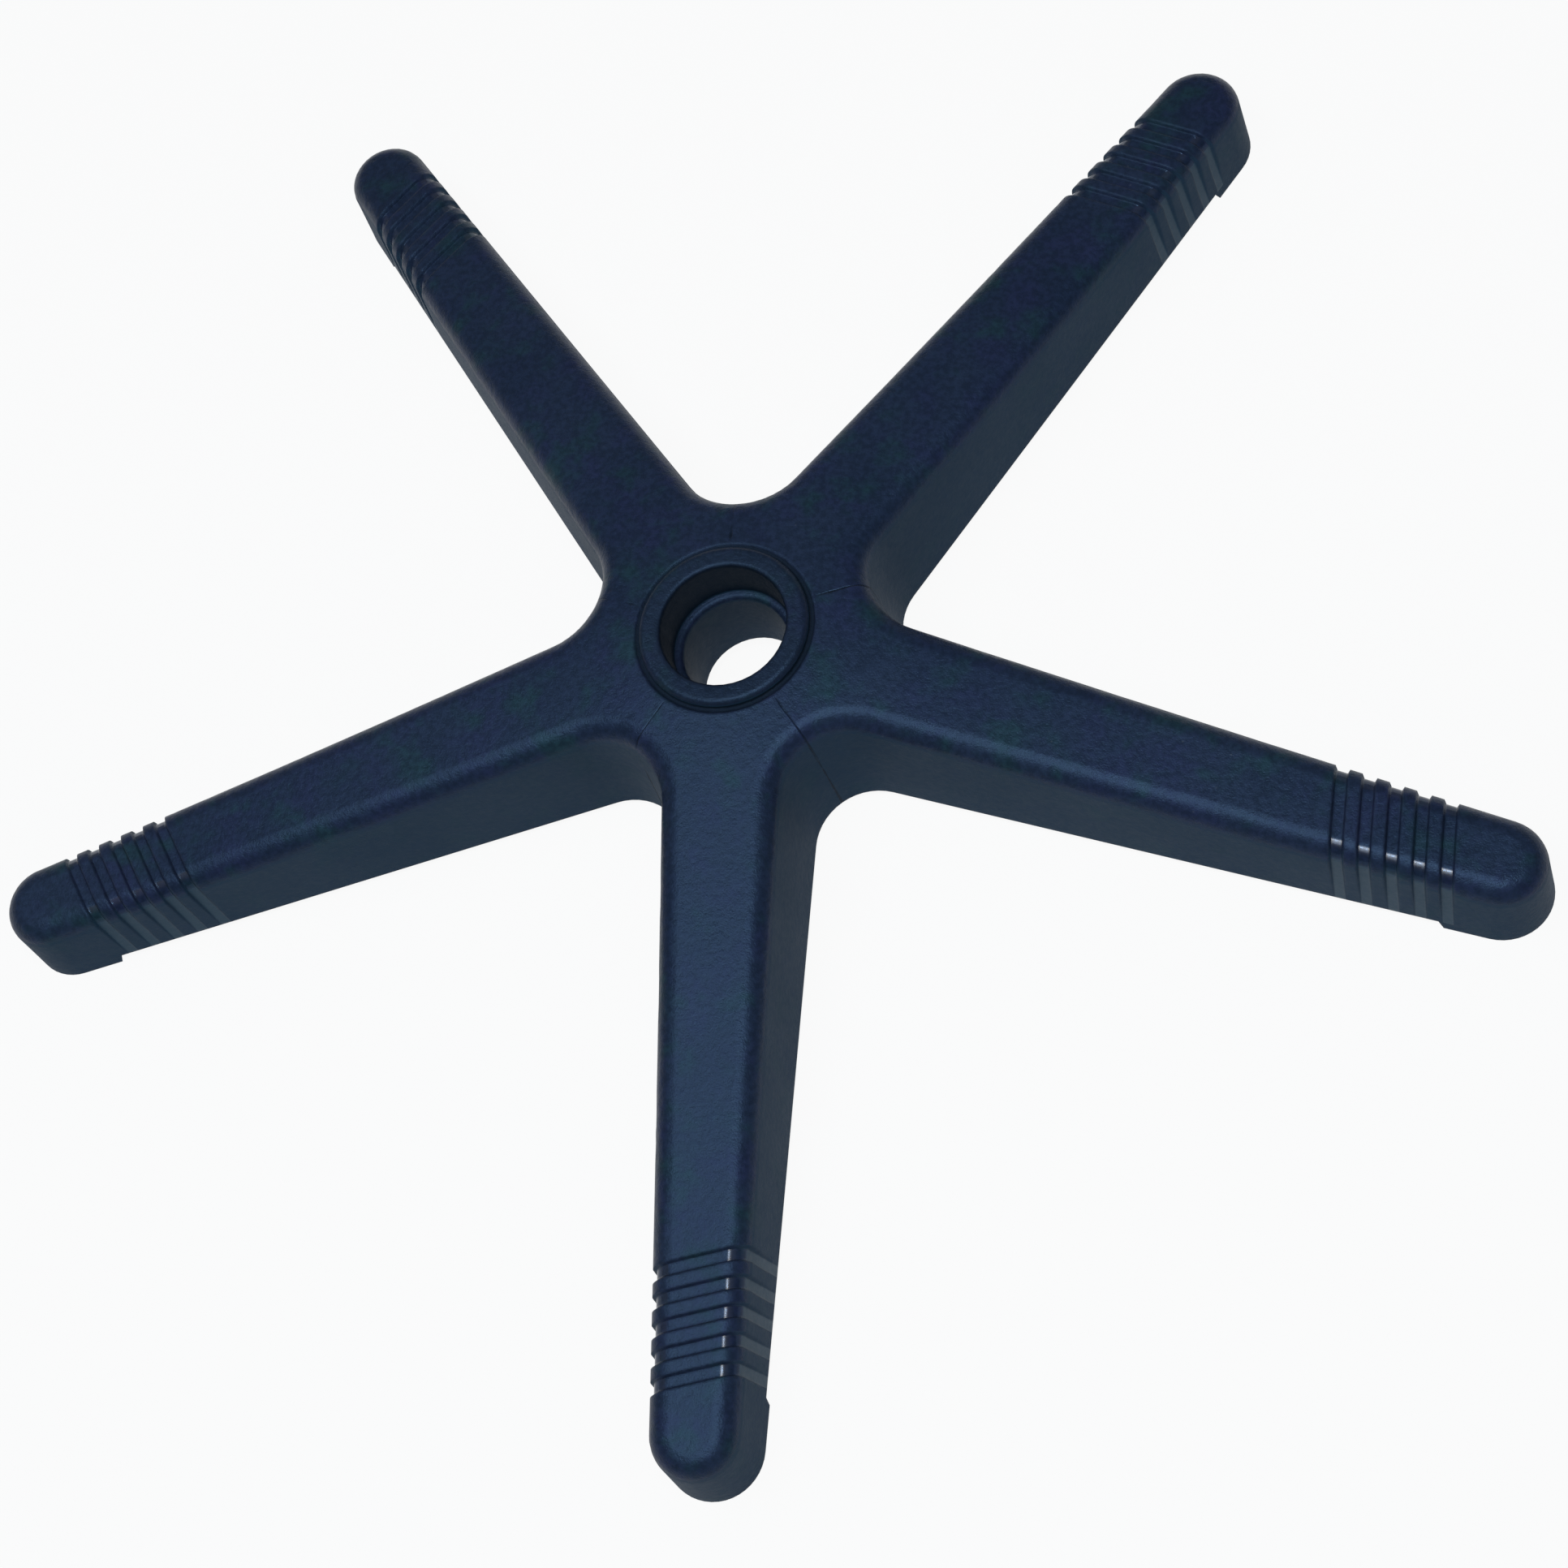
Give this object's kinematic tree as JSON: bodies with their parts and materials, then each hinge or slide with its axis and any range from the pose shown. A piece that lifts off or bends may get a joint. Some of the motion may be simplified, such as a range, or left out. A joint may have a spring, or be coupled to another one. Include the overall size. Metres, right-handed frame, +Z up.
{
  "type": "office chair five star base",
  "caption": "One-piece moulded star base for a swivel chair: tapered hollow arms with slanted grip grooves, ringed column seat in the hub and caster sockets under the tips.",
  "frame": {"origin": "on the column axis, in the bottom face of the hub tube", "axes": "+Z up along the column axis, out of the column seat; the first arm points along -Y"},
  "size_m": [0.6106, 0.5825, 0.0675],
  "materials": {
    "nylon": "satin, fine moulded texture"
  },
  "bodies": {
    "root": {"star_base": "nylon"}
  },
  "joints": []
}
